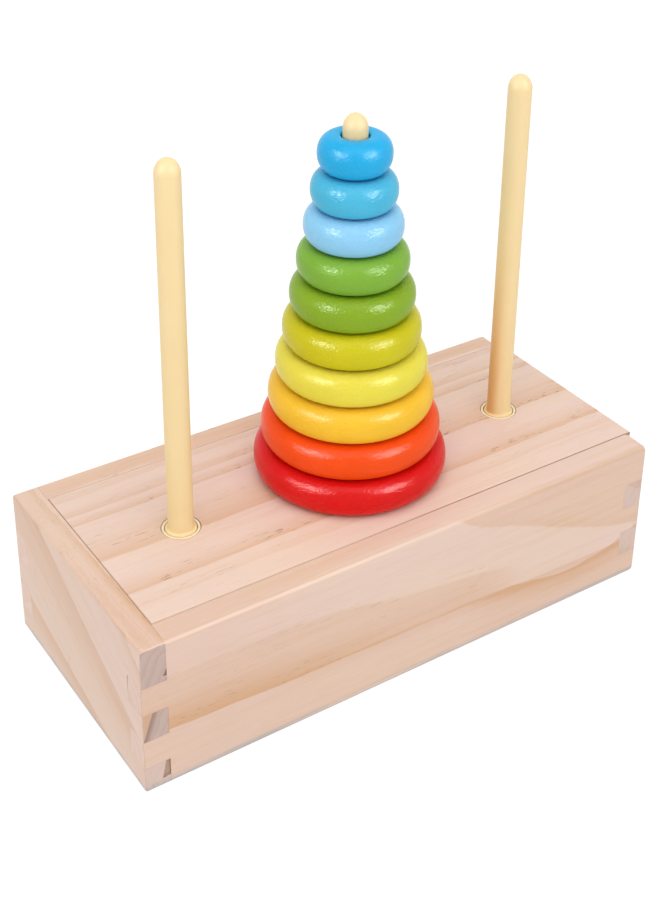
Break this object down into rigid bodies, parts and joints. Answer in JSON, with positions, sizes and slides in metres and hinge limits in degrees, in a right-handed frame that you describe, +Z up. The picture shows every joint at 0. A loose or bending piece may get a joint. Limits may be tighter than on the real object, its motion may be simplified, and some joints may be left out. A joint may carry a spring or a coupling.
{
  "type": "tower of hanoi puzzle",
  "caption": "Finger-jointed pine box with a sliding lid that carries upright pegs and a tapering stack of painted rings.",
  "frame": {"origin": "bottom centre of the box, on the surface it stands on", "axes": "+X along the box, the way the lid slides out; +Y towards the back wall; +Z up along the pegs"},
  "size_m": [0.24, 0.11, 0.222],
  "materials": {
    "pine": "clear satin",
    "cream_plastic": "satin",
    "paint_red": "glossy paint on wood",
    "paint_orange_red": "glossy paint on wood",
    "paint_amber": "glossy paint on wood",
    "paint_lemon": "glossy paint on wood",
    "paint_olive_yellow": "glossy paint on wood",
    "paint_lime_green": "glossy paint on wood",
    "paint_green": "glossy paint on wood",
    "paint_pale_blue": "glossy paint on wood",
    "paint_mid_blue": "glossy paint on wood",
    "paint_bright_blue": "glossy paint on wood"
  },
  "bodies": {
    "box": {"front_panel": "pine", "back_panel": "pine", "left_end_panel": "pine", "right_end_panel": "pine", "bottom_panel": "pine"},
    "lid": {"sliding_lid": "pine", "peg_socket_left": "cream_plastic", "peg_socket_center": "cream_plastic", "peg_socket_right": "cream_plastic"},
    "peg_left": {"peg_left": "cream_plastic"},
    "peg_center": {"peg_center": "cream_plastic"},
    "peg_right": {"peg_right": "cream_plastic"},
    "ring_01": {"ring_01": "paint_red"},
    "ring_02": {"ring_02": "paint_orange_red"},
    "ring_03": {"ring_03": "paint_amber"},
    "ring_04": {"ring_04": "paint_lemon"},
    "ring_05": {"ring_05": "paint_olive_yellow"},
    "ring_06": {"ring_06": "paint_lime_green"},
    "ring_07": {"ring_07": "paint_green"},
    "ring_08": {"ring_08": "paint_pale_blue"},
    "ring_09": {"ring_09": "paint_mid_blue"},
    "ring_10": {"ring_10": "paint_bright_blue"}
  },
  "joints": [
    {"name": "lid_slide", "type": "slide", "parent": "box", "child": "lid", "axis": [1, 0, 0], "range_m": [0, 0.235]},
    {"name": "peg_left_lift", "type": "slide", "parent": "lid", "child": "peg_left", "axis": [0, 0, 1], "range_m": [0, 0.012]},
    {"name": "peg_center_lift", "type": "slide", "parent": "lid", "child": "peg_center", "axis": [0, 0, 1], "range_m": [0, 0.012]},
    {"name": "peg_right_lift", "type": "slide", "parent": "lid", "child": "peg_right", "axis": [0, 0, 1], "range_m": [0, 0.012]},
    {"name": "ring_01_lift", "type": "slide", "parent": "peg_center", "child": "ring_01", "axis": [0, 0, 1], "range_m": [0, 0.1572]},
    {"name": "ring_02_lift", "type": "slide", "parent": "ring_01", "child": "ring_02", "axis": [0, 0, 1], "range_m": [0, 0.1425]},
    {"name": "ring_03_lift", "type": "slide", "parent": "ring_02", "child": "ring_03", "axis": [0, 0, 1], "range_m": [0, 0.1278]},
    {"name": "ring_04_lift", "type": "slide", "parent": "ring_03", "child": "ring_04", "axis": [0, 0, 1], "range_m": [0, 0.1131]},
    {"name": "ring_05_lift", "type": "slide", "parent": "ring_04", "child": "ring_05", "axis": [0, 0, 1], "range_m": [0, 0.0984]},
    {"name": "ring_06_lift", "type": "slide", "parent": "ring_05", "child": "ring_06", "axis": [0, 0, 1], "range_m": [0, 0.0837]},
    {"name": "ring_07_lift", "type": "slide", "parent": "ring_06", "child": "ring_07", "axis": [0, 0, 1], "range_m": [0, 0.069]},
    {"name": "ring_08_lift", "type": "slide", "parent": "ring_07", "child": "ring_08", "axis": [0, 0, 1], "range_m": [0, 0.0543]},
    {"name": "ring_09_lift", "type": "slide", "parent": "ring_08", "child": "ring_09", "axis": [0, 0, 1], "range_m": [0, 0.0396]},
    {"name": "ring_10_lift", "type": "slide", "parent": "ring_09", "child": "ring_10", "axis": [0, 0, 1], "range_m": [0, 0.0249]}
  ]
}
